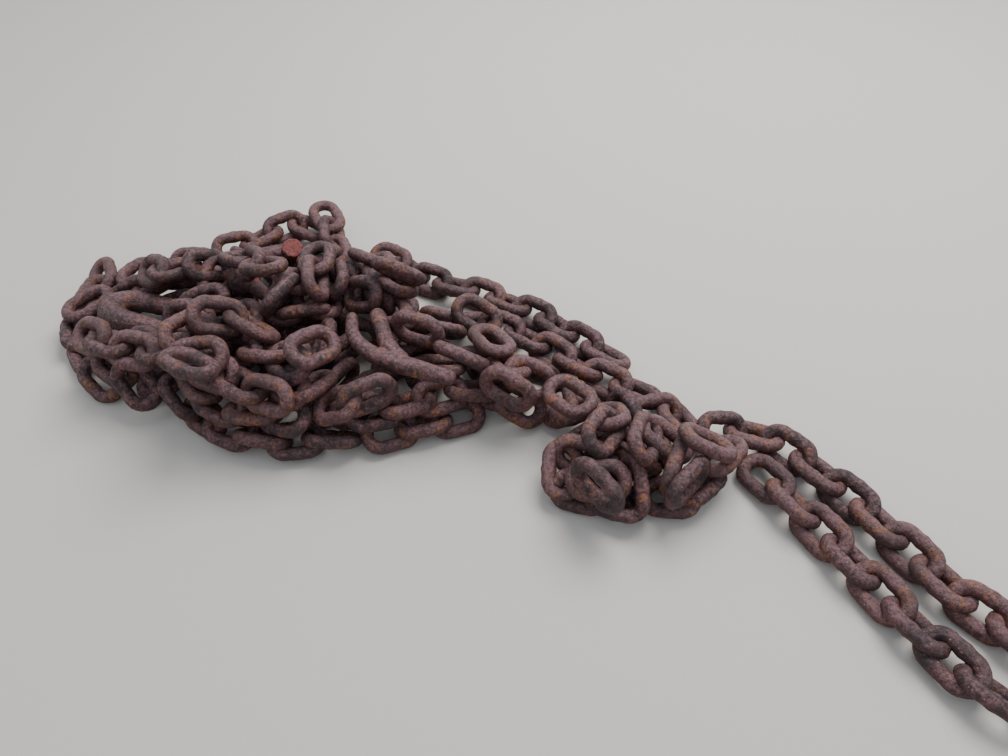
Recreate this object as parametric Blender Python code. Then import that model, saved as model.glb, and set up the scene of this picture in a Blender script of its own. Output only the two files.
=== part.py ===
"""A heap of rusty steel chain with its grab hooks, lying as it was dropped.

The heap is one pile on the left, a low middle, a small pile and two loose runs to the right.
Every strand is a row of welded links that hook through one another. A strand is laid along a
plan route, then let down until its links rest on the ground, on the core or on older strands.
"""

import itertools
import math
import random

import bmesh
import bpy
from mathutils import Matrix, Vector
from mathutils.bvhtree import BVHTree
from mathutils.kdtree import KDTree

MM = 0.001
WIRE = 12.0
INNER_LENGTH = 30.0
INNER_WIDTH = 13.5
BITE = 1.7
PROBE_SPACING = 2.5
SEAT_GAP = 0.25
START_HEIGHT = 170.0
STEEPEST = 18.0
HOOK_LEVEL = 60.0
HEAD_TIP = math.radians(30)
HEAD_ROLL = math.radians(12)
PUSHES = ((0, 0), (1.5, 0), (-1.5, 0), (0, 1.5), (0, -1.5))
PUSH_LIMIT = 8.0
LEAN_PLAY = 9.0
LEAN_TURN = math.radians(12)
LEAN_LIMIT = math.radians(40)
CROSSED = (48, 132)
MOST_LINKS = 60
BLOCK_TAPER = 0.94
CORE_GAP = 0.2
DRAW_STEP = 0.2

# A strand falls in steps of so many millimetres, and between the falls it is lifted and its
# joints are spaced anew: the lift, the steps of the fall and the play in the joints' spacing.
FIRST_FALL = (4.0,)
FIRST_PLAY = 9.0
FALLS = ((8.0, (2.0, 1.0), 4.0), (4.0, (1.0, 0.5), 2.0), (1.5, (0.5, 0.2), 0.9))
SMALL_LIFT = 0.4

# The routes are drawn on a sheet as the heap looks from this eye point, tilted down by this angle.
EYE = Vector((240.0, -590.0, 560.0))
TILT = math.radians(47.0)
SHEET_FOCUS = 757.0
SHEET_MIDDLE = (504.0, 378.0)

CROWN = INNER_LENGTH / 2 + WIRE / 2
HALF_WIDTH = INNER_WIDTH / 2 + WIRE / 2
PITCH = INNER_LENGTH + BITE
WIRE_SIDES = 5

# Half-lengths and heights of the low cores that fill the heap where no link can be seen.
CORES = {
    "heap_core": ((-50.0, 0.0), (100.0, 88.0), 36.0),
    "middle_core": ((152.0, -68.0), (90.0, 46.0), 18.0),
}

# Everything that lies on the ground and the cores, from the bottom up.
# A strand has the lean of its first link in degrees and its route on the sheet.
# A hook has its bars: each a row of sheet points with the bar's radius in millimetres.
PIECES = [
    ("left_edge_run", 70, [(100, 264), (104, 286), (88, 306), (78, 328), (82, 350), (96, 368)]),
    ("left_low_run", 60, [(92, 366), (108, 386), (122, 402)]),
    ("left_foot_run", 80, [(108, 350), (126, 376), (144, 402)]),
    ("left_toe_run", 15, [(124, 364), (142, 388), (154, 410)]),
    ("front_foot_run", 10, [
        (166, 384), (184, 408), (212, 424), (244, 436), (276, 442), (310, 440), (354, 440),
    ]),
    ("back_foot_run", 80, [(222, 250), (244, 246), (266, 242), (280, 228), (300, 224), (318, 236)]),
    ("back_gap_run", 75, [(258, 262), (288, 264), (316, 278), (338, 298)]),
    ("back_shoulder_run", 60, [(122, 276), (146, 264), (172, 258), (202, 256), (228, 256)]),
    ("back_right_run", 10, [(318, 206), (328, 232), (338, 258), (352, 284)]),
    ("middle_front_run", 40, [(366, 438), (384, 434), (408, 428), (440, 422), (472, 414), (504, 406)]),
    ("middle_belly_run", 70, [
        (356, 406), (384, 402), (412, 396), (444, 388), (476, 384), (504, 384), (530, 392),
    ]),
    ("middle_outer_run", 60, [
        (372, 252), (396, 262), (418, 280), (446, 284), (476, 290), (508, 300),
        (540, 314), (566, 332), (592, 348), (616, 362), (640, 376),
    ]),
    ("middle_inner_run", 15, [
        (352, 262), (374, 270), (392, 292), (404, 316), (400, 340), (424, 352), (452, 350),
    ]),
    ("upper_run", 70, [
        (426, 316), (456, 322), (480, 320), (508, 330), (534, 344),
        (560, 356), (588, 372), (614, 384), (640, 392), (666, 404),
    ]),
    ("pile_under_run", 15, [(592, 474), (612, 452), (636, 460), (664, 470)]),
    ("pile_back_run", 40, [(638, 410), (666, 406), (688, 424), (692, 450)]),
    ("far_run", 70, [
        (700, 424), (736, 428), (774, 440), (815, 472), (850, 500), (885, 530),
        (920, 562), (955, 594), (990, 618), (1022, 640), (1052, 664),
    ]),
    ("near_run", 20, [
        (748, 466), (785, 498), (820, 533), (855, 567), (890, 604),
        (925, 636), (960, 668), (996, 694), (1030, 718),
    ]),
    ("pile_right_run", 15, [(652, 494), (684, 498), (708, 480), (728, 456)]),
    ("pile_left_run", 80, [
        (600, 456), (564, 450), (562, 484), (593, 489), (622, 508), (642, 484), (632, 452), (622, 428),
    ]),
    ("pile_inner_run", 80, [(584, 472), (612, 478), (638, 468)]),
    ("pile_middle_run", 10, [(606, 402), (612, 434), (586, 450)]),
    ("pile_top_run", 70, [(554, 390), (566, 418), (588, 426), (594, 398)]),
    ("pile_bridge_run", 80, [(654, 428), (662, 462), (684, 484)]),
    ("pile_cross_run", 75, [(634, 450), (656, 418), (678, 438), (676, 474), (660, 490)]),
    ("pile_corner_run", 10, [(704, 466), (728, 444), (756, 438)]),
    ("middle_side_run", 70, [(500, 388), (524, 402), (536, 412)]),
    ("middle_back_run", 60, [(462, 300), (486, 316), (506, 336)]),
    ("middle_edge_run", 80, [(462, 350), (484, 342), (500, 360), (526, 370), (548, 384), (566, 394)]),
    ("middle_arch_run", 30, [(398, 336), (414, 322), (436, 332), (462, 344)]),
    ("middle_long_run", 75, [(352, 266), (376, 284), (396, 304), (408, 328)]),
    ("middle_knot_run", 20, [(424, 362), (450, 366), (478, 362)]),
    ("upright_run", 80, [(356, 266), (350, 292), (342, 316)]),
    ("right_grab_hook", [
        [
            (352, 318, 6.5), (353, 334, 7.5), (364, 348, 8.5), (382, 358, 9.5),
            (402, 364, 10), (424, 370, 9), (446, 376, 8),
        ],
        [(377, 316, 8.5), (382, 330, 8.5), (387, 345, 9), (400, 359, 9)],
    ]),
    ("belly_gap_run", 20, [(316, 400), (344, 394), (372, 392), (398, 390)]),
    ("front_second_run", 60, [
        (180, 356), (190, 382), (212, 398), (240, 408), (272, 414), (304, 412), (336, 408),
    ]),
    ("front_gap_run", 70, [(278, 376), (292, 394), (316, 392), (332, 378)]),
    ("upper_left_run", 80, [(114, 298), (138, 280), (164, 280), (190, 286), (214, 292)]),
    ("left_knee_run", 20, [(72, 312), (92, 300), (112, 290)]),
    ("left_grab_hook", [[
        (172, 308, 8.5), (150, 303, 9.5), (130, 301, 10.5), (114, 306, 12), (110, 316, 12.5),
        (123, 323, 11.5), (146, 328, 10), (168, 335, 9),
    ]]),
    ("orange_run", 10, [(256, 330), (282, 336), (312, 338), (334, 330)]),
    ("right_shoulder_run", 20, [(222, 342), (250, 350), (278, 358), (306, 366), (334, 362)]),
    ("front_shoulder_run", 80, [(76, 326), (100, 340), (130, 350), (160, 354), (188, 344)]),
    ("red_grab_hook", [[(293, 251, 8), (276, 254, 7), (258, 256, 6.5), (242, 255, 6.5), (233, 251, 6)]]),
    ("crown_left_run", 75, [(140, 262), (162, 272), (180, 262), (204, 268)]),
    ("crown_ring_run", 80, [(186, 258), (208, 260), (226, 272), (210, 288), (188, 296)]),
    ("round_head_hook", [[(244, 280, 9), (254, 286, 8.5), (264, 294, 7.5), (276, 301, 7), (290, 307, 7)]]),
    ("dark_bar_run", 60, [(290, 346), (318, 338), (342, 350)]),
    ("arch_run", 5, [(284, 292), (290, 322), (318, 312), (334, 278)]),
    ("belly_run", 80, [(196, 366), (222, 376), (248, 384), (276, 390), (302, 394)]),
    ("head_ring_run", 80, [(268, 304), (282, 288), (300, 274), (316, 264)]),
    ("saddle_run", 80, [(166, 334), (184, 318), (210, 324), (238, 322), (262, 316)]),
    ("crown_low_run", 80, [(198, 306), (222, 310), (244, 322), (264, 338)]),
    ("knee_run", 10, [(176, 352), (196, 368), (212, 350), (226, 366)]),
]

# The heads of two hooks: shape, place on the sheet, radius and thickness.
HEADS = {
    "red_grab_hook": ("block", (293, 251), 12.5, 21.0),
    "round_head_hook": ("round", (244, 279), 17.5, 25.0),
}


def sight_line(point):
    """Direction from the eye through a point of the sheet, reaching one millimetre down."""
    right = (point[0] - SHEET_MIDDLE[0]) / SHEET_FOCUS
    up = (SHEET_MIDDLE[1] - point[1]) / SHEET_FOCUS
    ahead = Vector((right, math.cos(TILT) + up * math.sin(TILT), up * math.cos(TILT) - math.sin(TILT)))
    return ahead / -ahead.z


def on_sight_line(point, height):
    """Where a point of the sheet lies at this height."""
    return EYE + sight_line(point) * (EYE.z - height)


def smooth_route(points, steps=24):
    """A Catmull-Rom curve through the route's points."""
    ends = [Vector(points[0]) * 2 - Vector(points[1])]
    ends += [Vector(point) for point in points]
    ends.append(Vector(points[-1]) * 2 - Vector(points[-2]))
    fine = []
    for index in range(1, len(ends) - 2):
        before, start, finish, after = ends[index - 1:index + 3]
        for step in range(steps):
            t = step / steps
            fine.append(0.5 * (2 * start + (finish - before) * t
                               + (2 * before - 5 * start + 4 * finish - after) * t * t
                               + (3 * start - before - 3 * finish + after) * t ** 3))
    fine.append(ends[-2])
    return fine


def link_outline():
    """Corners of a link's centreline: an eight-sided loop with its crowns at both ends."""
    side = HALF_WIDTH * math.tan(math.pi / 8)
    shoulder = CROWN - HALF_WIDTH + side
    corners = [(shoulder, HALF_WIDTH), (CROWN, side), (CROWN, -side), (shoulder, -HALF_WIDTH)]
    return corners + [(-x, -y) for x, y in corners]


def link_probes():
    """Points along the link's centreline that are tested for clearance."""
    corners = link_outline()
    probes = []
    for index, corner in enumerate(corners):
        following = corners[(index + 1) % len(corners)]
        length = math.dist(corner, following)
        count = max(2, round(length / PROBE_SPACING))
        for step in range(count):
            t = step / count
            x = corner[0] + (following[0] - corner[0]) * t
            y = corner[1] + (following[1] - corner[1]) * t
            probes.append((x, y))
    return probes


PROBES = link_probes()


def link_frame(start, finish, lean):
    """The link's long, wide and thin directions, turned about the long one by its lean."""
    long = (finish - start).normalized()
    side = Vector((0, 0, 1)).cross(long).normalized()
    above = long.cross(side)
    wide = side * math.cos(lean) + above * math.sin(lean)
    return long, wide, long.cross(wide)


def link_points(start, finish, lean):
    long, wide, _ = link_frame(start, finish, lean)
    middle = (start + finish) / 2
    return [middle + long * x + wide * y for x, y in PROBES]


class Heap:
    """Everything that lies in place so far: wire centre points, faces of solids and of strands."""

    def __init__(self):
        self.points = []
        self.tree = None
        self.solids = []
        self.strands = []

    def settle(self, points):
        self.points += points
        self.tree = KDTree(len(self.points))
        for index, point in enumerate(self.points):
            self.tree.insert(point, index)
        self.tree.balance()

    def is_clear(self, points):
        radius = WIRE / 2
        if min(point.z for point in points) < radius:
            return False
        if self.tree is not None:
            for point in points:
                if self.tree.find(point)[2] < WIRE:
                    return False
        for solid in self.solids:
            for point in points:
                if solid.find_nearest(point, radius + CORE_GAP)[0] is not None:
                    return False
        return True


def place_of(route, joint):
    """Where a joint lies: its share of the route, its height and how far it is pushed aside."""
    share, height, aside, along = joint
    place = share * (len(route) - 1)
    index = min(int(place), len(route) - 2)
    point = route[index].lerp(route[index + 1], place - index)
    return on_sight_line((point[0] + aside, point[1] + along), height)


def march(route, reader):
    """Joints along the route, one pitch apart in space. A route too short for a link runs on past its end."""
    joints = [(0.0, *reader(0.0))]
    last = place_of(route, joints[0])
    count = (len(route) - 1) * 10
    index = 0
    while index < count or len(joints) < 2:
        index += 1
        joint = (index / count, *reader(index / count))
        place = place_of(route, joint)
        if (place - last).length >= PITCH:
            joints.append(joint)
            last = place
    return joints


def reader_of(joints, lift):
    """The strand's height and push aside at any share of its route."""
    def read(share):
        for (first, *low), (second, *high) in zip(joints, joints[1:]):
            if share <= second:
                t = 0 if second == first else (share - first) / (second - first)
                height, aside, along = (a + (b - a) * t for a, b in zip(low, high))
                return height + lift, aside, along
        height, aside, along = joints[-1][1:]
        return height + lift, aside, along
    return read


def near_clear(heap, places, leans, index):
    """Whether the links on both sides of a joint are clear."""
    for link in (index - 1, index):
        if 0 <= link < len(places) - 1:
            if not heap.is_clear(link_points(places[link], places[link + 1], leans[link])):
                return False
    return True


def crossed(leans, first_leans, index, count):
    """Whether the links at this joint keep near their lean and stand across their neighbours."""
    for link in range(max(index - 1, 0), index + 1):
        if abs(leans[link] - first_leans[link]) > LEAN_LIMIT:
            return False
    for link in range(max(index - 2, 0), min(index + 1, count - 2)):
        turn = math.degrees(leans[link + 1] - leans[link]) % 180
        if not CROSSED[0] <= turn <= CROSSED[1]:
            return False
    return True


def well_spaced(places, index, play):
    """Whether a joint is one pitch from its neighbours, give or take the play."""
    for other in (index - 1, index + 1):
        if 0 <= other < len(places) and abs((places[other] - places[index]).length - PITCH) > play:
            return False
    return True


def lower(route, joints, leans, first_leans, heap, steps, pushes, play):
    """Lower the joints in turn for as long as the links beside them stay clear."""
    count = len(joints)
    places = [place_of(route, joint) for joint in joints]
    turns = (0.0, LEAN_TURN, -LEAN_TURN)
    for step in steps:
        moved = True
        while moved:
            moved = False
            for index in range(count):
                share, height, aside, along = joints[index]
                lower_height = height - step
                beside = [joints[other][1] for other in (index - 1, index + 1) if 0 <= other < count]
                if lower_height < WIRE / 2 or any(other - lower_height > STEEPEST for other in beside):
                    continue
                kept = places[index]
                kept_leans = leans[:]
                for push_aside, push_along in pushes:
                    joint = (share, lower_height, aside + push_aside, along + push_along)
                    if abs(joint[2]) > PUSH_LIMIT or abs(joint[3]) > PUSH_LIMIT:
                        continue
                    places[index] = place_of(route, joint)
                    if not well_spaced(places, index, play):
                        continue
                    for before, after in itertools.product(turns, turns):
                        if index > 0:
                            leans[index - 1] = kept_leans[index - 1] + before
                        leans[index] = kept_leans[index] + after
                        if (before or after) and not crossed(leans, first_leans, index, count):
                            continue
                        if near_clear(heap, places, leans, index):
                            joints[index] = joint
                            moved = True
                            break
                    else:
                        continue
                    break
                else:
                    places[index] = kept
                    leans[:] = kept_leans
    return joints, places


def free_stuck(route, joints, places, leans, heap):
    """Raise the joints of links that are not clear, and say whether any had to be raised."""
    raised = False
    for _ in range(80):
        stuck = [link for link in range(len(joints) - 1)
                 if not heap.is_clear(link_points(places[link], places[link + 1], leans[link]))]
        if not stuck:
            break
        raised = True
        for index in sorted({end for link in stuck for end in (link, link + 1)}):
            share, height, aside, along = joints[index]
            joints[index] = (share, height + 1.0, aside, along)
            places[index] = place_of(route, joints[index])
    return raised


def lay_strand(name, route_points, first_lean, heap):
    """Joints and leans of one strand, resting on what lies below it."""
    route = smooth_route([Vector(point) for point in route_points])
    chance = random.Random(name)
    leans = []
    for index in range(MOST_LINKS):
        quarter = 90 if index % 2 else 0
        leans.append(math.radians(first_lean + quarter + chance.uniform(-LEAN_PLAY, LEAN_PLAY)))
    first_leans = leans[:]
    joints = march(route, lambda share: (START_HEIGHT, 0.0, 0.0))
    joints, places = lower(route, joints, leans, first_leans, heap, FIRST_FALL, PUSHES[:1], FIRST_PLAY)
    for lift, steps, play in FALLS:
        for attempt in range(8):
            joints = march(route, reader_of(joints, lift if attempt == 0 else SMALL_LIFT))
            places = [place_of(route, joint) for joint in joints]
            if not free_stuck(route, joints, places, leans, heap):
                break
        joints, places = lower(route, joints, leans, first_leans, heap, steps, PUSHES, play)
    return places, leans


def link_mesh():
    """One link as a closed loop of wire: a ring with eight corners, its halves drawn apart."""
    bpy.ops.mesh.primitive_torus_add(major_segments=8, minor_segments=WIRE_SIDES, minor_radius=WIRE / 2 * MM,
                                     major_radius=HALF_WIDTH / math.cos(math.pi / 8) * MM)
    ring = bpy.context.object
    mesh = ring.data
    bpy.data.objects.remove(ring)
    mesh.transform(Matrix.Rotation(math.pi / 8, 4, "Z"))
    for vert in mesh.vertices:
        vert.co.x += math.copysign((CROWN - HALF_WIDTH) * MM, vert.co.x)
    return mesh


def steel(name, colour, roughness, metallic):
    material = bpy.data.materials.new(name)
    material.use_nodes = True
    shader = material.node_tree.nodes["Principled BSDF"]
    shader.inputs["Base Color"].default_value = (*colour, 1)
    shader.inputs["Roughness"].default_value = roughness
    shader.inputs["Metallic"].default_value = metallic
    return material


def join_links(name, link, frames, collection):
    """All the given links of a strand as one mesh object."""
    mesh = bpy.data.meshes.new(name)
    bm = bmesh.new()
    for frame in frames:
        seen = len(bm.verts)
        bm.from_mesh(link)
        bm.verts.ensure_lookup_table()
        bmesh.ops.transform(bm, matrix=frame, verts=bm.verts[seen:])
    bm.to_mesh(mesh)
    bm.free()
    strand = bpy.data.objects.new(name, mesh)
    collection.objects.link(strand)
    return strand


def link_matrix(start, finish, lean):
    long, wide, thin = link_frame(start, finish, lean)
    middle = (start + finish) / 2 * MM
    return Matrix((
        (long.x, wide.x, thin.x, middle.x),
        (long.y, wide.y, thin.y, middle.y),
        (long.z, wide.z, thin.z, middle.z),
        (0, 0, 0, 1),
    ))


def is_sealed(island):
    """Whether a closed skin faces inward, as round a hollow."""
    volume = 0
    for face in island:
        middle = face.calc_center_median()
        volume += middle.dot(face.normal) * face.calc_area()
    return volume < 0


def keep_outer_skin(mesh):
    """Drop the pinholes that stay sealed inside where two round crowns bear on each other."""
    bm = bmesh.new()
    bm.from_mesh(mesh)
    islands = []
    seen = set()
    for start in bm.faces:
        if start in seen:
            continue
        island = [start]
        seen.add(start)
        for face in island:
            for edge in face.edges:
                for other in edge.link_faces:
                    if other not in seen:
                        seen.add(other)
                        island.append(other)
        islands.append(island)
    sealed = [face for island in islands if is_sealed(island) for face in island]
    bmesh.ops.delete(bm, geom=sealed, context="FACES")
    bm.to_mesh(mesh)
    bm.free()


def build_strand(name, frames, link, parts, cutters, material):
    """Every second link is the body, and the links between them are joined on to it."""
    body = join_links(name, link, frames[0::2], parts)
    between = join_links(name + "_between", link, frames[1::2], cutters)
    union = body.modifiers.new("Union", "BOOLEAN")
    union.operation = "UNION"
    union.object = between
    union.use_self = True
    graph = bpy.context.evaluated_depsgraph_get()
    joined = bpy.data.meshes.new_from_object(body.evaluated_get(graph))
    body.modifiers.clear()
    body.data = joined
    bpy.data.objects.remove(between)
    keep_outer_skin(joined)
    joined.materials.clear()
    joined.materials.append(material)
    return body


def faces_of(meshes, frames):
    """The corners in millimetres and the faces of some meshes in their places."""
    corners = []
    faces = []
    for mesh, frame in zip(meshes, frames):
        first = len(corners)
        corners += [frame @ vert.co / MM for vert in mesh.vertices]
        faces += [tuple(first + corner for corner in face.vertices) for face in mesh.polygons]
    return corners, faces


def is_free(shape, shift, solids):
    """Whether the shape, moved by the shift, stands above the ground and cuts into nothing."""
    corners, faces = shape
    moved = [corner + shift for corner in corners]
    if min(corner.z for corner in moved) < 0:
        return False
    tree = BVHTree.FromPolygons(moved, faces)
    return not any(tree.overlap(solid) for solid in solids)


def seat(shape, shift, fall, steps, heap):
    """Move the shape along the fall until it touches something, then back by the seat gap."""
    solids = heap.solids + heap.strands
    while not is_free(shape, shift, solids):
        shift = shift - fall * steps[-1]
    for step in steps:
        while is_free(shape, shift + fall * step, solids):
            shift = shift + fall * step
    return shift - fall * SEAT_GAP


def bar_mesh(points):
    """A bent bar with round ends, through sheet points at one level."""
    centres = smooth_route([Vector((x, y, radius)) for x, y, radius in points], 2)
    curve = bpy.data.curves.new("bar", "CURVE")
    curve.dimensions = "3D"
    curve.bevel_depth = MM
    curve.bevel_resolution = 2
    curve.render_resolution_u = 0
    curve.use_fill_caps = True
    spline = curve.splines.new("POLY")
    spline.points.add(len(centres) - 1)
    for point, centre in zip(spline.points, centres):
        place = on_sight_line(centre, HOOK_LEVEL)
        point.co = (place.x * MM, place.y * MM, place.z * MM, 1)
        point.radius = centre.z
    guide = bpy.data.objects.new("bar_guide", curve)
    bpy.context.scene.collection.objects.link(guide)
    graph = bpy.context.evaluated_depsgraph_get()
    mesh = bpy.data.meshes.new_from_object(guide.evaluated_get(graph))
    bpy.data.objects.remove(guide)
    bpy.data.curves.remove(curve)
    bm = bmesh.new()
    bm.from_mesh(mesh)
    bmesh.ops.remove_doubles(bm, verts=bm.verts, dist=0.00001)
    bm.to_mesh(mesh)
    bm.free()
    return mesh


def head_mesh(shape, place, radius, thickness):
    """A hook's head, its broad face turned up to the eye: an eight-sided block or a flattened ball."""
    bm = bmesh.new()
    if shape == "block":
        bmesh.ops.create_cone(bm, cap_ends=True, segments=8, depth=thickness * MM,
                              radius1=radius * MM, radius2=radius * BLOCK_TAPER * MM,
                              matrix=Matrix.Rotation(math.pi / 8, 4, "Z"))
    else:
        bmesh.ops.create_uvsphere(bm, u_segments=12, v_segments=8, radius=radius * MM)
        bmesh.ops.scale(bm, vec=(1, 1, thickness / radius / 2), verts=bm.verts)
    turn = Matrix.Rotation(HEAD_TIP, 4, "X") @ Matrix.Rotation(HEAD_ROLL, 4, "Y")
    move = Matrix.Translation(on_sight_line(place, HOOK_LEVEL) * MM)
    bmesh.ops.transform(bm, matrix=move @ turn, verts=bm.verts)
    mesh = bpy.data.meshes.new("head")
    bm.to_mesh(mesh)
    bm.free()
    return mesh


def lay_hook(name, bars, heap, parts, cutters, material):
    """A hook from its bars, let down along the sight line as one solid until it touches."""
    meshes = [bar_mesh(bar) for bar in bars]
    if name in HEADS:
        meshes.append(head_mesh(*HEADS[name]))
    shape = faces_of(meshes, [Matrix()] * len(meshes))
    start = on_sight_line(bars[0][0], HOOK_LEVEL)
    fall = (start - EYE) / (EYE.z - start.z)
    shift = seat(shape, fall * (HOOK_LEVEL - START_HEIGHT), fall, (2.0, 0.1), heap)
    heap.solids.append(BVHTree.FromPolygons([corner + shift for corner in shape[0]], shape[1]))
    hook = None
    for index, mesh in enumerate(meshes):
        mesh.transform(Matrix.Translation(shift * MM))
        thing = bpy.data.objects.new(name if hook is None else f"{name}_{index}", mesh)
        mesh.materials.append(material)
        if hook is None:
            hook = thing
            parts.objects.link(hook)
            continue
        cutters.objects.link(thing)
        thing.hide_render = True
        thing.display_type = "WIRE"
        union = hook.modifiers.new("Union", "BOOLEAN")
        union.operation = "UNION"
        union.object = thing
    return hook


def build_core(name, middle, half, height, parts, material):
    """A low dome with a flat underside, a little uneven on top."""
    mesh = bpy.data.meshes.new(name)
    bm = bmesh.new()
    bmesh.ops.create_uvsphere(bm, u_segments=20, v_segments=12, radius=1)
    bmesh.ops.bisect_plane(bm, geom=bm.verts[:] + bm.edges[:] + bm.faces[:], plane_co=(0, 0, 0.02),
                           plane_no=(0, 0, -1), clear_outer=True)
    bmesh.ops.contextual_create(bm, geom=[edge for edge in bm.edges if edge.is_boundary])
    for vert in bm.verts:
        angle = math.atan2(vert.co.y, vert.co.x)
        ripple = 1 + 0.05 * math.sin(3 * angle + 0.6) + 0.03 * math.sin(5 * angle)
        low = (vert.co.z - 0.02) / 0.98
        vert.co = Vector((
            (middle[0] + vert.co.x * half[0] * ripple) * MM,
            (middle[1] + vert.co.y * half[1] * ripple) * MM,
            low * height * MM,
        ))
    bmesh.ops.recalc_face_normals(bm, faces=bm.faces)
    bm.to_mesh(mesh)
    bm.free()
    core = bpy.data.objects.new(name, mesh)
    core.data.materials.append(material)
    parts.objects.link(core)
    return core


def bears(link, frames):
    """Whether two neighbouring links bear on each other."""
    first, second = (BVHTree.FromPolygons(*faces_of([link], [frame])) for frame in frames)
    return bool(first.overlap(second))


def draw_up(places, leans, link):
    """Draw the joints together along a strand until every link bears on the link before it."""
    for index in range(1, len(places) - 1):
        while True:
            frames = [link_matrix(places[at], places[at + 1], leans[at]) for at in (index - 1, index)]
            if bears(link, frames):
                break
            pull = (places[index] - places[index + 1]).normalized() * DRAW_STEP
            for later in range(index + 1, len(places)):
                places[later] = places[later] + pull


def lay_links(places, leans, link, heap):
    """Seat a strand's links as one solid, and give the matrix of each."""
    draw_up(places, leans, link)
    count = len(places) - 1
    frames = [link_matrix(places[index], places[index + 1], leans[index]) for index in range(count)]
    shape = faces_of([link] * count, frames)
    shift = seat(shape, Vector(), Vector((0, 0, -1)), (0.1,), heap)
    heap.strands.append(BVHTree.FromPolygons([corner + shift for corner in shape[0]], shape[1]))
    for index in range(count):
        heap.settle([point + shift for point in link_points(places[index], places[index + 1], leans[index])])
    return [Matrix.Translation(shift * MM) @ frame for frame in frames]


def main():
    for thing in list(bpy.data.objects):
        bpy.data.objects.remove(thing)
    parts = bpy.data.collections.new("chain_heap")
    cutters = bpy.data.collections.new("cutters")
    bpy.context.scene.collection.children.link(parts)
    bpy.context.scene.collection.children.link(cutters)
    cutters.hide_render = True

    heap = Heap()
    rust = steel("rusty_steel", (0.16, 0.075, 0.05), 0.8, 0.3)
    forged = steel("forged_steel", (0.13, 0.055, 0.042), 0.75, 0.3)
    painted = steel("faded_paint", (0.36, 0.045, 0.035), 0.6, 0.0)
    shade = steel("packed_links", (0.06, 0.035, 0.028), 0.9, 0.1)

    for name, (middle, half, height) in CORES.items():
        core = build_core(name, middle, half, height, parts, shade)
        heap.solids.append(BVHTree.FromPolygons(*faces_of([core.data], [Matrix()])))

    link = link_mesh()
    for name, *shape in PIECES:
        if len(shape) == 1:
            lay_hook(name, shape[0], heap, parts, cutters, painted if name in HEADS else forged)
            continue
        lean, route = shape
        places, leans = lay_strand(name, route, lean, heap)
        frames = lay_links(places, leans, link, heap)
        build_strand(name, frames, link, parts, cutters, rust)


if __name__ == "__main__":
    main()
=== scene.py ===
"""A heap of rusty steel chain with its grab hooks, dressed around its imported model.

The strands lie where the model's strands lie, because they are laid by the same rule: each strand
is let down along the lines of sight of the heap's plan until its links rest on what lies below.
The solid cores of the model give way to loose links, and short strands are let down into gaps.
All sizes of the laying rule are in millimetres, and the meshes are in metres.
"""

import itertools
import math
import random

import bmesh
import bpy
from bpy.props import FloatProperty, FloatVectorProperty, IntProperty, PointerProperty
from mathutils import Matrix, Vector
from mathutils.bvhtree import BVHTree
from mathutils.kdtree import KDTree


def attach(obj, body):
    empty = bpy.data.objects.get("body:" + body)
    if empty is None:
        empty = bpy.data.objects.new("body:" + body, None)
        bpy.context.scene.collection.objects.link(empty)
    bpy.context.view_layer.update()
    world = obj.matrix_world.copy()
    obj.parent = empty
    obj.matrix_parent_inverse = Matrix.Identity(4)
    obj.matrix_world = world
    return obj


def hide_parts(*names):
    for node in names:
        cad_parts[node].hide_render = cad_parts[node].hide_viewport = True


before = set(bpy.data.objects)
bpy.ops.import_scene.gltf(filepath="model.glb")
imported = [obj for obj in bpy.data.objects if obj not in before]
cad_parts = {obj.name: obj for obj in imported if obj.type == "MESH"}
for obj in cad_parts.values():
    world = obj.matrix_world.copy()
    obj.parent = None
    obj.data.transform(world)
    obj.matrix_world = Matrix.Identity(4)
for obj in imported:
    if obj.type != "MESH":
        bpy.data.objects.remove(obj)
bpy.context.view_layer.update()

bl_info = {
    "name": "Chain Heap",
    "version": (1, 0, 0),
    "blender": (4, 5, 0),
    "location": "3D View > Sidebar > Chain Heap",
    "description": "Builds a heap of rusty steel chain with its grab hooks",
    "category": "Add Mesh",
}

MM = 0.001
NO_SHIFT = Vector()
SEED = 23
# Vertices so near a plane count as on it, and so near each other are merged, in metres.
HAIR = 0.0001
MERGED = 0.00001

# The model's links: their wire, the inner loop, how deep neighbours bite in, and the sides of a wire.
WIRE = 12.0
INNER_LENGTH = 30.0
INNER_WIDTH = 13.5
BITE = 1.7
WIRE_SIDES = 5
CROWN = INNER_LENGTH / 2 + WIRE / 2
HALF_WIDTH = INNER_WIDTH / 2 + WIRE / 2
PITCH = INNER_LENGTH + BITE

# The shown links: their wire, swollen by scale, the cuts along their straights, the bulge of the
# weld, and the rings and sides of the plainer links inside.
LINK_WIRE = 12.7
LINK_CROWN = (PITCH + WIRE) / 2
STRAIGHT_CUTS = (-4.5, 4.5, -8.5, 8.5)
WELD_GROWTH = 1.1
FILLER_STEPS = (16, 8)

# How a strand is laid: the spacing of the points that test a link, the gap to cores and hooks, the
# steps along its route, where it starts, how far a joint may hang below its neighbours and be
# pushed aside on the sheet, and how its links lean and cross.
PROBE_SPACING = 2.5
CORE_GAP = 0.2
MOST_LINKS = 60
ROUTE_STEPS = 24
MARCH_STEPS = 10
START_HEIGHT = 170.0
STEEPEST = 18.0
PUSHES = ((0, 0), (1.5, 0), (-1.5, 0), (0, 1.5), (0, -1.5))
PUSH_LIMIT = 8.0
LEAN_PLAY = 9.0
LEAN_TURNS = (0.0, math.radians(12), -math.radians(12))
LEAN_LIMIT = math.radians(40)
CROSSED = (48, 132)

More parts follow.
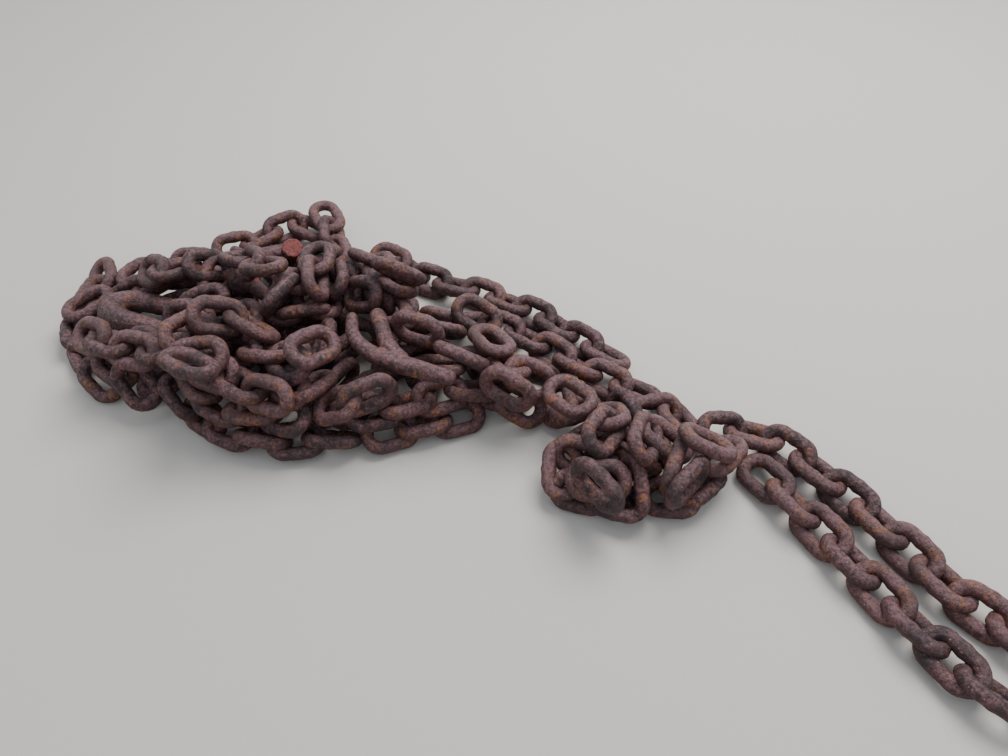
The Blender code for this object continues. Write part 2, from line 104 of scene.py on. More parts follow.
# A strand falls in steps of so many millimetres, and between the falls it is lifted and its
# joints are spaced anew: the lift, the steps of the fall and the play in the joints' spacing.
FIRST_FALL = (4.0,)
FIRST_PLAY = 9.0
FALLS = ((8.0, (2.0, 1.0), 4.0), (4.0, (1.0, 0.5), 2.0), (1.5, (0.5, 0.2), 0.9))
SMALL_LIFT = 0.4
SPACINGS = 8
MOST_RAISES = 80

# A piece is seated in these steps, and then moved back by a gap.
STRAND_STEPS = (0.1,)
HOOK_STEPS = (2.0, 0.1)
SEAT_GAP = 0.25

# The hooks as they are drawn: their level, the turn and taper of their heads, and how fine a bar
# is bent in the laying rule and when it is shown.
HOOK_LEVEL = 60.0
HEAD_TIP = math.radians(30)
HEAD_ROLL = math.radians(12)
BLOCK_TAPER = 0.94
PLAIN_BAR = 2
FINE_BAR = 6

# How a hook is finished: the voxels it is melted in, and the edge and the dished face of a block.
VOXEL = 1.0
BLOCK_EDGE = 1.6
DISH_RIM = 4.0
DISH_DEPTH = 0.6

# The routes are drawn on a sheet as the heap looks from this eye point, tilted down by this angle.
EYE = Vector((240.0, -590.0, 560.0))
TILT = math.radians(47.0)
SHEET_FOCUS = 757.0
SHEET_MIDDLE = (504.0, 378.0)
SHEET_WIDTH = 1008.0
SENSOR_WIDTH = 36.0

# The low cores that fill the heap where no link can be seen: middle, half-lengths and height.
# Each is a ball, cut at this share of its radius above its middle.
CORE_CUT = 0.02
CORES = {
    "heap_core": ((-50.0, 0.0), (100.0, 88.0), 36.0),
    "middle_core": ((152.0, -68.0), (90.0, 46.0), 18.0),
}

# Everything that lies on the ground and the cores, from the bottom up.
# A strand has the lean of its first link in degrees and its route on the sheet.
# A hook has its bars: each a row of sheet points with the bar's radius in millimetres.
PIECES = [
    ("left_edge_run", 70, [(100, 264), (104, 286), (88, 306), (78, 328), (82, 350), (96, 368)]),
    ("left_low_run", 60, [(92, 366), (108, 386), (122, 402)]),
    ("left_foot_run", 80, [(108, 350), (126, 376), (144, 402)]),
    ("left_toe_run", 15, [(124, 364), (142, 388), (154, 410)]),
    ("front_foot_run", 10, [
        (166, 384), (184, 408), (212, 424), (244, 436), (276, 442), (310, 440), (354, 440),
    ]),
    ("back_foot_run", 80, [(222, 250), (244, 246), (266, 242), (280, 228), (300, 224), (318, 236)]),
    ("back_gap_run", 75, [(258, 262), (288, 264), (316, 278), (338, 298)]),
    ("back_shoulder_run", 60, [(122, 276), (146, 264), (172, 258), (202, 256), (228, 256)]),
    ("back_right_run", 10, [(318, 206), (328, 232), (338, 258), (352, 284)]),
    ("middle_front_run", 40, [(366, 438), (384, 434), (408, 428), (440, 422), (472, 414), (504, 406)]),
    ("middle_belly_run", 70, [
        (356, 406), (384, 402), (412, 396), (444, 388), (476, 384), (504, 384), (530, 392),
    ]),
    ("middle_outer_run", 60, [
        (372, 252), (396, 262), (418, 280), (446, 284), (476, 290), (508, 300),
        (540, 314), (566, 332), (592, 348), (616, 362), (640, 376),
    ]),
    ("middle_inner_run", 15, [
        (352, 262), (374, 270), (392, 292), (404, 316), (400, 340), (424, 352), (452, 350),
    ]),
    ("upper_run", 70, [
        (426, 316), (456, 322), (480, 320), (508, 330), (534, 344),
        (560, 356), (588, 372), (614, 384), (640, 392), (666, 404),
    ]),
    ("pile_under_run", 15, [(592, 474), (612, 452), (636, 460), (664, 470)]),
    ("pile_back_run", 40, [(638, 410), (666, 406), (688, 424), (692, 450)]),
    ("far_run", 70, [
        (700, 424), (736, 428), (774, 440), (815, 472), (850, 500), (885, 530),
        (920, 562), (955, 594), (990, 618), (1022, 640), (1052, 664),
    ]),
    ("near_run", 20, [
        (748, 466), (785, 498), (820, 533), (855, 567), (890, 604),
        (925, 636), (960, 668), (996, 694), (1030, 718),
    ]),
    ("pile_right_run", 15, [(652, 494), (684, 498), (708, 480), (728, 456)]),
    ("pile_left_run", 80, [
        (600, 456), (564, 450), (562, 484), (593, 489), (622, 508), (642, 484), (632, 452), (622, 428),
    ]),
    ("pile_inner_run", 80, [(584, 472), (612, 478), (638, 468)]),
    ("pile_middle_run", 10, [(606, 402), (612, 434), (586, 450)]),
    ("pile_top_run", 70, [(554, 390), (566, 418), (588, 426), (594, 398)]),
    ("pile_bridge_run", 80, [(654, 428), (662, 462), (684, 484)]),
    ("pile_cross_run", 75, [(634, 450), (656, 418), (678, 438), (676, 474), (660, 490)]),
    ("pile_corner_run", 10, [(704, 466), (728, 444), (756, 438)]),
    ("middle_side_run", 70, [(500, 388), (524, 402), (536, 412)]),
    ("middle_back_run", 60, [(462, 300), (486, 316), (506, 336)]),
    ("middle_edge_run", 80, [(462, 350), (484, 342), (500, 360), (526, 370), (548, 384), (566, 394)]),
    ("middle_arch_run", 30, [(398, 336), (414, 322), (436, 332), (462, 344)]),
    ("middle_long_run", 75, [(352, 266), (376, 284), (396, 304), (408, 328)]),
    ("middle_knot_run", 20, [(424, 362), (450, 366), (478, 362)]),
    ("upright_run", 80, [(356, 266), (350, 292), (342, 316)]),
    ("right_grab_hook", [
        [
            (352, 318, 6.5), (353, 334, 7.5), (364, 348, 8.5), (382, 358, 9.5),
            (402, 364, 10), (424, 370, 9), (446, 376, 8),
        ],
        [(377, 316, 8.5), (382, 330, 8.5), (387, 345, 9), (400, 359, 9)],
    ]),
    ("belly_gap_run", 20, [(316, 400), (344, 394), (372, 392), (398, 390)]),
    ("front_second_run", 60, [
        (180, 356), (190, 382), (212, 398), (240, 408), (272, 414), (304, 412), (336, 408),
    ]),
    ("front_gap_run", 70, [(278, 376), (292, 394), (316, 392), (332, 378)]),
    ("upper_left_run", 80, [(114, 298), (138, 280), (164, 280), (190, 286), (214, 292)]),
    ("left_knee_run", 20, [(72, 312), (92, 300), (112, 290)]),
    ("left_grab_hook", [[
        (172, 308, 8.5), (150, 303, 9.5), (130, 301, 10.5), (114, 306, 12), (110, 316, 12.5),
        (123, 323, 11.5), (146, 328, 10), (168, 335, 9),
    ]]),
    ("orange_run", 10, [(256, 330), (282, 336), (312, 338), (334, 330)]),
    ("right_shoulder_run", 20, [(222, 342), (250, 350), (278, 358), (306, 366), (334, 362)]),
    ("front_shoulder_run", 80, [(76, 326), (100, 340), (130, 350), (160, 354), (188, 344)]),
    ("red_grab_hook", [[(293, 251, 8), (276, 254, 7), (258, 256, 6.5), (242, 255, 6.5), (233, 251, 6)]]),
    ("crown_left_run", 75, [(140, 262), (162, 272), (180, 262), (204, 268)]),
    ("crown_ring_run", 80, [(186, 258), (208, 260), (226, 272), (210, 288), (188, 296)]),
    ("round_head_hook", [[
        (244, 280, 9), (254, 286, 8.5), (264, 294, 7.5), (276, 301, 7), (290, 307, 7),
    ]]),
    ("dark_bar_run", 60, [(290, 346), (318, 338), (342, 350)]),
    ("arch_run", 5, [(284, 292), (290, 322), (318, 312), (334, 278)]),
    ("belly_run", 80, [(196, 366), (222, 376), (248, 384), (276, 390), (302, 394)]),
    ("head_ring_run", 80, [(268, 304), (282, 288), (300, 274), (316, 264)]),
    ("saddle_run", 80, [(166, 334), (184, 318), (210, 324), (238, 322), (262, 316)]),
    ("crown_low_run", 80, [(198, 306), (222, 310), (244, 322), (264, 338)]),
    ("knee_run", 10, [(176, 352), (196, 368), (212, 350), (226, 366)]),
]

# The heads of two hooks: shape, place on the sheet, radius and thickness.
HEADS = {
    "red_grab_hook": ("block", (293, 251), 12.5, 21.0),
    "round_head_hook": ("round", (244, 279), 17.5, 25.0),
}

# How much thicker or thinner than in the model the bars of two hooks are forged.
BAR_GROWTH = {"left_grab_hook": 1.12, "right_grab_hook": 0.9}

# How light the rust is, from zero to one: that of the hooks, and the most for the links inside, which are
# kept darker as a painted shade where they lie under the others.
HOOK_TONE = 0.4
SHADED_INSIDE_TONE = 0.5

# Where the middle of the paint is, away from the middle of the head, and how far the paint reaches.
PAINT = {
    "red_grab_hook": (Vector((6.0, 0.0, 3.0)), 17.0),
    "round_head_hook": (Vector((9.0, 5.0, 7.0)), 16.0),
}

# Strands that close the gaps between the model's, by their routes on the sheet.
EXTRA_STRANDS = {
    "back_low": [(226, 256), (256, 258), (286, 264)],
    "back_low_right": [(302, 264), (322, 252), (334, 238)],
    "back_bend": [(354, 250), (378, 266), (398, 292), (408, 314)],
    "back_bend_under": [(380, 262), (402, 270), (426, 284)],
    "run_start": [(690, 440), (716, 452), (742, 470)],
    "middle_cross": [(404, 318), (432, 326), (458, 336)],
    "saddle_cross": [(500, 372), (524, 388), (548, 402)],
    "edge_cross": [(446, 342), (470, 352), (494, 368)],
    "shoulder_cross": [(174, 350), (202, 362), (230, 374)],
    "pile_front_over": [(584, 464), (604, 484), (622, 508)],
    "pile_cross_right": [(672, 488), (696, 470), (716, 452)],
}
LEANS_TRIED = (0, 30, 60, 90, 120, 150)

# The outline on the sheet that loose links keep within.
OUTLINE = [
    (84, 300), (104, 276), (150, 264), (205, 262), (236, 256), (262, 240), (318, 232), (348, 256),
    (392, 268), (440, 286), (500, 306), (560, 340), (612, 366), (650, 394), (668, 424), (672, 476),
    (634, 500), (590, 496), (562, 476), (562, 446), (540, 412), (498, 398), (470, 424), (400, 436),
    (300, 438), (236, 422), (190, 398), (150, 396), (110, 384), (86, 350),
]

# Short strands in the gaps: how many are tried, their lengths on the sheet, and the share of that
# length that is left where they run up it.
GAP_TRIES = 1100
GAP_REACHES = (38, 70, 70, 100)
UPWARD_SHARE = 0.8

# Which of them are kept: how squarely a link may face the eye, how high it may stand, how far
# behind it others count as hidden and what share of it may hide them, and how many points within
# a reach of its top must be higher.
BROADEST = 0.8
HIGHEST = 105.0
HIDING = 45.0
MOST_HIDDEN = 0.45
NEAR_TOP = 42.0
HIGHER_POINTS = 10

# A row of links that grows inside: its links, the tries for each, and how far each may turn,
# climb and lean away from the one before.
ROW_LINKS = 6
LINK_TRIES = 8
ROW_TURN = 0.9
ROW_CLIMB = 0.5
ROW_LEAN = 0.5

# Low domes that such rows fill: middle, half-lengths and height. The rows tried in a dome are
# its half-lengths, multiplied, times this number.
FILL_TRIES = 2.4
FILLED = [
    ((-45.0, -15.0), (128.0, 104.0), 66.0),
    ((30.0, -70.0), (70.0, 66.0), 74.0),
    ((105.0, -10.0), (60.0, 60.0), 44.0),
    ((85.0, -120.0), (64.0, 48.0), 38.0),
    ((-10.0, 80.0), (110.0, 60.0), 32.0),
    ((165.0, -72.0), (96.0, 56.0), 36.0),
    ((225.0, 0.0), (70.0, 40.0), 24.0),
    ((265.0, -70.0), (60.0, 50.0), 28.0),
    ((345.0, -160.0), (66.0, 54.0), 34.0),
]

# Scale, detail and roughness of the rust's noises (broad, patches, blooms, scale and grain), the
# scales of its spots and pits, and how deep the relief is, in metres.
RUST_NOISES = (
    (26.0, 3.0, 0.5), (95.0, 5.0, 0.62), (60.0, 7.0, 0.74), (300.0, 5.0, 0.7), (1100.0, 3.0, 0.65),
)
SPOT_SCALE = 260.0
PIT_SCALE = 520.0
RELIEF = 0.0016

# The two sizes of lumps, in millimetres, and how deep the finer ones are beside the coarse ones.
LINK_LUMPS = (12, 5, 0.7)
HOOK_LUMPS = (16, 5, 0.5)

# The stage: places and sizes in metres, and colours.
FLOOR_MIDDLE = (0.3, 0.0, 0.0)
LAMP_PLACE = (0.75, 0.7, 1.6)
LAMP_TARGET = (0.15, -0.05, 0.0)
LAMP_WIDTH = 1.3
LAMP_COLOUR = (1.0, 0.97, 0.93)
SKY_COLOUR = (0.88, 0.93, 1.0)


def sight_line(point):
    """Direction from the eye through a point of the sheet, reaching one millimetre down."""
    right = (point[0] - SHEET_MIDDLE[0]) / SHEET_FOCUS
    up = (SHEET_MIDDLE[1] - point[1]) / SHEET_FOCUS
    ahead = Vector((right, math.cos(TILT) + up * math.sin(TILT), up * math.cos(TILT) - math.sin(TILT)))
    return ahead / -ahead.z


def on_sight_line(point, height):
    """Where a point of the sheet lies at this height."""
    return EYE + sight_line(point) * (EYE.z - height)


def smooth_route(points, steps=ROUTE_STEPS):
    """A Catmull-Rom curve through the route's points."""
    ends = [Vector(points[0]) * 2 - Vector(points[1])]
    ends += [Vector(point) for point in points]
    ends.append(Vector(points[-1]) * 2 - Vector(points[-2]))
    fine = []
    for index in range(1, len(ends) - 2):
        before, start, finish, after = ends[index - 1:index + 3]
        for step in range(steps):
            t = step / steps
            fine.append(0.5 * (2 * start + (finish - before) * t
                               + (2 * before - 5 * start + 4 * finish - after) * t * t
                               + (3 * start - before - 3 * finish + after) * t ** 3))
    fine.append(ends[-2])
    return fine


def link_outline():
    """Corners of a link's centreline: an eight-sided loop with its crowns at both ends."""
    side = HALF_WIDTH * math.tan(math.pi / 8)
    shoulder = CROWN - HALF_WIDTH + side
    corners = [(shoulder, HALF_WIDTH), (CROWN, side), (CROWN, -side), (shoulder, -HALF_WIDTH)]
    return corners + [(-x, -y) for x, y in corners]


def link_probes():
    """Points along the link's centreline that are tested for clearance."""
    corners = link_outline()
    probes = []
    for start, finish in zip(corners, corners[1:] + corners[:1]):
        count = max(2, round(math.dist(start, finish) / PROBE_SPACING))
        for step in range(count):
            probes.append([a + (b - a) * (step / count) for a, b in zip(start, finish)])
    return probes


PROBES = link_probes()


def link_frame(start, finish, lean):
    """The link's long, wide and thin directions, turned about the long one by its lean."""
    long = (finish - start).normalized()
    side = Vector((0, 0, 1)).cross(long).normalized()
    above = long.cross(side)
    wide = side * math.cos(lean) + above * math.sin(lean)
    return long, wide, long.cross(wide)


def link_points(start, finish, lean):
    long, wide, _ = link_frame(start, finish, lean)
    middle = (start + finish) / 2
    return [middle + long * x + wide * y for x, y in PROBES]


def links_of(places, leans):
    """The two ends and the lean of each link of a strand."""
    return list(zip(places, places[1:], leans))


class Heap:
    """Everything that lies in place so far: wire centre points, faces of solids and of strands."""

    def __init__(self):
        self.points = []
        self.tree = None
        self.solids = []
        self.strands = []

    def settle(self, places, leans, shift=NO_SHIFT):
        """Add the links of a strand, and give their matrices."""
        for link in links_of(places, leans):
            self.points += [point + shift for point in link_points(*link)]
        self.tree = KDTree(len(self.points))
        for index, point in enumerate(self.points):
            self.tree.insert(point, index)
        self.tree.balance()
        return link_frames(places, leans, shift)

    def is_clear(self, points):
        radius = WIRE / 2
        if min(point.z for point in points) < radius:
            return False
        if self.tree is not None:
            for point in points:
                if self.tree.find(point)[2] < WIRE:
                    return False
        for solid in self.solids:
            for point in points:
                if solid.find_nearest(point, radius + CORE_GAP)[0] is not None:
                    return False
        return True


class Strand:
    """One strand as it is laid. A joint is its share of the route, its height and its two pushes."""

    def __init__(self, name, points, first_lean, heap):
        chance = random.Random(name)
        self.heap = heap
        self.route = smooth_route([Vector(point) for point in points])
        self.joints = []
        self.places = []
        self.leans = []
        for index in range(MOST_LINKS):
            quarter = 90 if index % 2 else 0
            lean = first_lean + quarter + chance.uniform(-LEAN_PLAY, LEAN_PLAY)
            self.leans.append(math.radians(lean))
        self.first_leans = self.leans[:]

    def place_of(self, joint):
        """Where a joint lies: on the sight line of its spot on the sheet, at its height."""
        share, height, aside, along = joint
        place = share * (len(self.route) - 1)
        index = min(int(place), len(self.route) - 2)
        point = self.route[index].lerp(self.route[index + 1], place - index)
        return on_sight_line((point[0] + aside, point[1] + along), height)

    def space_joints(self, reader):
        """Space the joints one pitch apart, and past the route's end if it's too short for a link."""
        self.joints = [(0.0, *reader(0.0))]
        self.places = [self.place_of(self.joints[0])]
        count = (len(self.route) - 1) * MARCH_STEPS
        index = 0
        while index < count or len(self.joints) < 2:
            index += 1
            joint = (index / count, *reader(index / count))
            place = self.place_of(joint)
            if (place - self.places[-1]).length >= PITCH:
                self.joints.append(joint)
                self.places.append(place)

    def lifted(self, lift):
        """The height and pushes at any share of the route, as they are now and lifted a little."""
        joints = self.joints

        def read(share):
            for (first, *low), (second, *high) in zip(joints, joints[1:]):
                if share <= second:
                    t = 0 if second == first else (share - first) / (second - first)
                    height, aside, along = (a + (b - a) * t for a, b in zip(low, high))
                    return height + lift, aside, along
            height, aside, along = joints[-1][1:]
            return height + lift, aside, along
        return read

    def near_clear(self, index):
        """Whether the links on both sides of a joint are clear."""
        first = max(index - 1, 0)
        beside = links_of(self.places[first:index + 2], self.leans[first:index + 1])
        return all(self.heap.is_clear(link_points(*link)) for link in beside)

    def crossed(self, index):
        """Whether the links at this joint keep near their lean and stand across their neighbours."""
        for link in range(max(index - 1, 0), index + 1):
            if abs(self.leans[link] - self.first_leans[link]) > LEAN_LIMIT:
                return False
        for link in range(max(index - 2, 0), min(index + 1, len(self.joints) - 2)):
            turn = math.degrees(self.leans[link + 1] - self.leans[link]) % 180
            if not CROSSED[0] <= turn <= CROSSED[1]:
                return False
        return True

    def beside(self, index):
        """The numbers of the joints beside a joint."""
        return [other for other in (index - 1, index + 1) if 0 <= other < len(self.joints)]

    def well_spaced(self, index, play):
        """Whether a joint is one pitch from its neighbours, give or take the play."""
        gaps = [(self.places[other] - self.places[index]).length for other in self.beside(index)]
        return all(abs(gap - PITCH) <= play for gap in gaps)

    def drop_joint(self, index, step, pushes, play):
        """Lower one joint, pushed and with its links leaned so that they are clear, if it can be."""
        share, height, aside, along = self.joints[index]
        height -= step
        too_steep = any(self.joints[other][1] - height > STEEPEST for other in self.beside(index))
        if too_steep or height < WIRE / 2:
            return False
        kept = self.places[index]
        kept_leans = self.leans[:]
        for push_aside, push_along in pushes:
            joint = (share, height, aside + push_aside, along + push_along)
            if abs(joint[2]) > PUSH_LIMIT or abs(joint[3]) > PUSH_LIMIT:
                continue
            self.places[index] = self.place_of(joint)
            if not self.well_spaced(index, play):
                continue
            for before, after in itertools.product(LEAN_TURNS, LEAN_TURNS):
                if index > 0:
                    self.leans[index - 1] = kept_leans[index - 1] + before
                self.leans[index] = kept_leans[index] + after
                if (before or after) and not self.crossed(index):
                    continue
                if self.near_clear(index):
                    self.joints[index] = joint
                    return True
        self.places[index] = kept
        self.leans = kept_leans
        return False

    def lower(self, steps, pushes, play):
        """Lower the joints in turn for as long as the links beside them stay clear."""
        for step in steps:
            moved = True
            while moved:
                drops = [self.drop_joint(index, step, pushes, play) for index in range(len(self.joints))]
                moved = any(drops)

    def free_stuck(self):
        """Raise the joints of links that are not clear, and say whether any had to be raised."""
        for raises in range(MOST_RAISES):
            stuck = [index for index, link in enumerate(links_of(self.places, self.leans))
                     if not self.heap.is_clear(link_points(*link))]
            if not stuck:
                return raises > 0
            for index in {end for first in stuck for end in (first, first + 1)}:
                share, height, aside, along = self.joints[index]
                self.joints[index] = (share, height + 1.0, aside, along)
                self.places[index] = self.place_of(self.joints[index])
        return True

    def lay(self):
        """Let the strand fall until it rests, and give its places and leans."""
        self.space_joints(lambda share: (START_HEIGHT, 0.0, 0.0))
        self.lower(FIRST_FALL, PUSHES[:1], FIRST_PLAY)
        for lift, steps, play in FALLS:
            for attempt in range(SPACINGS):
                self.space_joints(self.lifted(SMALL_LIFT if attempt else lift))
                if not self.free_stuck():
                    break
            self.lower(steps, PUSHES, play)
        return self.places, self.leans


def link_mesh():
    """One link as a closed loop of wire: a ring with eight corners, its halves drawn apart."""
    bpy.ops.mesh.primitive_torus_add(major_segments=8, minor_segments=WIRE_SIDES,
                                     major_radius=HALF_WIDTH / math.cos(math.pi / 8) * MM,
                                     minor_radius=WIRE / 2 * MM)
    ring = bpy.context.object
    mesh = ring.data
    bpy.data.objects.remove(ring)
    mesh.transform(Matrix.Rotation(math.pi / 8, 4, "Z"))
    for vert in mesh.vertices:
        vert.co.x += math.copysign((CROWN - HALF_WIDTH) * MM, vert.co.x)
    return mesh


def link_matrix(start, finish, lean):
    long, wide, thin = link_frame(start, finish, lean)
    middle = (start + finish) / 2 * MM
    return Matrix((
        (long.x, wide.x, thin.x, middle.x),
        (long.y, wide.y, thin.y, middle.y),
        (long.z, wide.z, thin.z, middle.z),
        (0, 0, 0, 1),
    ))


def faces_of(meshes, frames):
    """The corners in millimetres and the faces of some meshes in their places."""
    corners = []
    faces = []
    for mesh, place in zip(meshes, frames):
        first = len(corners)
        corners += [place @ vert.co / MM for vert in mesh.vertices]
        faces += [tuple(first + corner for corner in face.vertices) for face in mesh.polygons]
    return corners, faces


def tree_of(shape, shift):
    """A search tree of the shape, moved by the shift."""
    corners, faces = shape
    return BVHTree.FromPolygons([corner + shift for corner in corners], faces)


def is_free(shape, shift, solids):
    """Whether the shape, moved by the shift, stands above the ground and cuts into nothing."""
    corners, faces = shape
    moved = [corner + shift for corner in corners]
    if min(corner.z for corner in moved) < 0:
        return False
    tree = BVHTree.FromPolygons(moved, faces)
    return not any(tree.overlap(solid) for solid in solids)


def seat(shape, shift, fall, steps, heap):
    """Move the shape along the fall until it touches something, then back by the seat gap."""
    solids = heap.solids + heap.strands
    while not is_free(shape, shift, solids):
        shift = shift - fall * steps[-1]
    for step in steps:
        while is_free(shape, shift + fall * step, solids):
            shift = shift + fall * step
    return shift - fall * SEAT_GAP


def bend_bar(points, fineness, growth=1.0, shift=NO_SHIFT):
    """A curve as thick as a bent bar, through sheet points at one level."""
    centres = smooth_route([Vector(point) for point in points], fineness)
    curve = bpy.data.curves.new("bar", "CURVE")
    curve.dimensions = "3D"
    curve.bevel_depth = MM
    curve.bevel_resolution = fineness
    curve.use_fill_caps = True
    spline = curve.splines.new("POLY")
    spline.points.add(len(centres) - 1)
    for point, centre in zip(spline.points, centres):
        place = on_sight_line(centre, HOOK_LEVEL) + shift
        point.co = (place.x * MM, place.y * MM, place.z * MM, 1)
        point.radius = centre.z * growth
    bar = bpy.data.objects.new("bar", curve)
    bpy.context.scene.collection.objects.link(bar)
    return bar


def bar_mesh(points):
    """The plain bar of the laying rule."""
    bar = bend_bar(points, PLAIN_BAR)
    curve = bar.data
    graph = bpy.context.evaluated_depsgraph_get()
    mesh = bpy.data.meshes.new_from_object(bar.evaluated_get(graph))
    bpy.data.objects.remove(bar)
    bpy.data.curves.remove(curve)
    bm = bmesh.new()
    bm.from_mesh(mesh)
    bmesh.ops.remove_doubles(bm, verts=bm.verts, dist=MERGED)
    bm.to_mesh(mesh)
    bm.free()
    return mesh


def head_matrix(place, shift=NO_SHIFT):
    """Where a hook's head lies, in metres, with its broad face turned up to the eye."""
    turn = Matrix.Rotation(HEAD_TIP, 4, "X") @ Matrix.Rotation(HEAD_ROLL, 4, "Y")
    return Matrix.Translation((on_sight_line(place, HOOK_LEVEL) + shift) * MM) @ turn


def head_mesh(shape, place, radius, thickness):
    """The plain head of the laying rule: an eight-sided block or a flattened ball."""
    bm = bmesh.new()
    if shape == "block":
        bmesh.ops.create_cone(bm, cap_ends=True, segments=8, depth=thickness * MM,
                              radius1=radius * MM, radius2=radius * BLOCK_TAPER * MM,
                              matrix=Matrix.Rotation(math.pi / 8, 4, "Z"))
    else:
        bmesh.ops.create_uvsphere(bm, u_segments=12, v_segments=8, radius=radius * MM)
        bmesh.ops.scale(bm, vec=(1, 1, thickness / radius / 2), verts=bm.verts)
    bmesh.ops.transform(bm, matrix=head_matrix(place), verts=bm.verts)
    mesh = bpy.data.meshes.new("head")
    bm.to_mesh(mesh)
    bm.free()
    return mesh


def core_mesh(middle, half, height):
    """A low dome with a flat underside, a little uneven on top."""
    mesh = bpy.data.meshes.new("core")
    bm = bmesh.new()
    bmesh.ops.create_uvsphere(bm, u_segments=20, v_segments=12, radius=1)
    bmesh.ops.bisect_plane(bm, geom=bm.verts[:] + bm.edges[:] + bm.faces[:],
                           plane_co=(0, 0, CORE_CUT), plane_no=(0, 0, -1), clear_outer=True)
    bmesh.ops.contextual_create(bm, geom=[edge for edge in bm.edges if edge.is_boundary])
    for vert in bm.verts:
        angle = math.atan2(vert.co.y, vert.co.x)
        ripple = 1 + 0.05 * math.sin(3 * angle + 0.6) + 0.03 * math.sin(5 * angle)
        low = (vert.co.z - CORE_CUT) / (1 - CORE_CUT)
        vert.co = Vector((
            (middle[0] + vert.co.x * half[0] * ripple) * MM,
            (middle[1] + vert.co.y * half[1] * ripple) * MM,
            low * height * MM,
        ))
    bmesh.ops.recalc_face_normals(bm, faces=bm.faces)
    bm.to_mesh(mesh)
    bm.free()
    return mesh


def link_frames(places, leans, shift=NO_SHIFT):
    """The matrix of each link of a strand, in metres."""
    move = Matrix.Translation(shift * MM)
    return [move @ link_matrix(*link) for link in links_of(places, leans)]


def lay_heap():
    """The heap with every strand and hook of the model in place."""
    heap = Heap()
    for core in CORES.values():
        heap.solids.append(BVHTree.FromPolygons(*faces_of([core_mesh(*core)], [Matrix()])))
    link = link_mesh()
    strands = {}
    hooks = {}
    for name, *shape in PIECES:
        if len(shape) == 1:
            hooks[name] = (shape[0], lay_hook(name, shape[0], heap))
            continue
        lean, route = shape
        places, leans = Strand(name, route, lean, heap).lay()
        frames = link_frames(places, leans)
        shape = faces_of([link] * len(frames), frames)
        shift = seat(shape, NO_SHIFT, Vector((0, 0, -1)), STRAND_STEPS, heap)
        heap.strands.append(tree_of(shape, shift))
        strands[name] = heap.settle(places, leans, shift)
    # Loose links take the place of the cores.
    heap.solids = heap.solids[len(CORES):]
    return heap, strands, hooks


def lay_hook(name, bars, heap):
    """How far a hook moves from its drawn level, let down along the sight line until it touches."""
    meshes = [bar_mesh(bar) for bar in bars]
    if name in HEADS:
        meshes.append(head_mesh(*HEADS[name]))
    shape = faces_of(meshes, [Matrix()] * len(meshes))
    start = on_sight_line(bars[0][0], HOOK_LEVEL)
    fall = (start - EYE) / (EYE.z - start.z)
    shift = seat(shape, fall * (HOOK_LEVEL - START_HEIGHT), fall, HOOK_STEPS, heap)
    heap.solids.append(tree_of(shape, shift))
    return shift


def on_sheet(point):
    """Where a point is seen on the sheet: the inverse of a sight line."""
    ray = point - EYE
    depth = ray.y * math.cos(TILT) - ray.z * math.sin(TILT)
    rise = ray.y * math.sin(TILT) + ray.z * math.cos(TILT)
    return SHEET_MIDDLE[0] + SHEET_FOCUS * ray.x / depth, SHEET_MIDDLE[1] - SHEET_FOCUS * rise / depth


def in_outline(spot):
    """Whether a spot of the sheet lies inside the outline."""
    inside = False
    for (x1, y1), (x2, y2) in zip(OUTLINE, OUTLINE[1:] + OUTLINE[:1]):
        if (y1 > spot[1]) != (y2 > spot[1]) and spot[0] < x1 + (x2 - x1) * (spot[1] - y1) / (y2 - y1):
            inside = not inside
    return inside


def fill_gaps(heap, chance):
    """Short strands let down into the gaps that show between the others, as seen from the eye."""
    frames = []
    for name, route in EXTRA_STRANDS.items():
        tries = [Strand(name, route, lean, heap).lay() for lean in LEANS_TRIED]
        frames += heap.settle(*min(tries, key=lambda tried: broadness(*tried)))
    left, right = (pick(x for x, _ in OUTLINE) for pick in (min, max))
    top, bottom = (pick(y for _, y in OUTLINE) for pick in (min, max))
    for number in range(GAP_TRIES):
        start = (chance.uniform(left, right), chance.uniform(top, bottom))
        turn = chance.uniform(0, 2 * math.pi)
        reach = chance.choice(GAP_REACHES)
        end = (start[0] + reach * math.cos(turn), start[1] + reach * UPWARD_SHARE * math.sin(turn))
        lean = chance.uniform(0, 180)
        if in_outline(start) and in_outline(end):
            places, leans = Strand(f"gap_{number}", [start, end], lean, heap).lay()
            if fits_gap(places, leans, heap):
                frames += heap.settle(places, leans)
    return frames


def broadness(places, leans):
    """How squarely the squarest link of a strand turns its broad side to the eye, up to one."""
    links = links_of(places, leans)
    return max(abs(link_frame(*link)[2].dot((link[0] - EYE).normalized())) for link in links)


def hides(point, trees):
    """Whether something lies close behind a point, as seen from the eye."""
    ahead = (point - EYE).normalized()
    return any(tree.ray_cast(point, ahead, HIDING)[0] is not None for tree in trees)


def fits_gap(places, leans, heap):
    """Whether a strand keeps within the outline, lies low and hides little of the others."""
    if not all(in_outline(on_sheet(place)) for place in places) or broadness(places, leans) > BROADEST:
        return False
    points = [point for link in links_of(places, leans) for point in link_points(*link)]
    top = max(points, key=lambda point: point.z)
    higher = [near for near, _, _ in heap.tree.find_range(top, NEAR_TOP) if near.z > top.z]
    if len(higher) < HIGHER_POINTS or top.z > HIGHEST:
        return False
    tested = points[::3]
    if any(hides(point, heap.solids) for point in tested):
        return False
    return sum(hides(point, heap.strands) for point in tested) < len(tested) * MOST_HIDDEN


def under_dome(point, dome):
    middle, half, height = dome
    reach = ((point.x - middle[0]) / half[0]) ** 2 + ((point.y - middle[1]) / half[1]) ** 2
    return reach < 1 and point.z < max(WIRE / 2 + 1, height * math.sqrt(1 - reach))


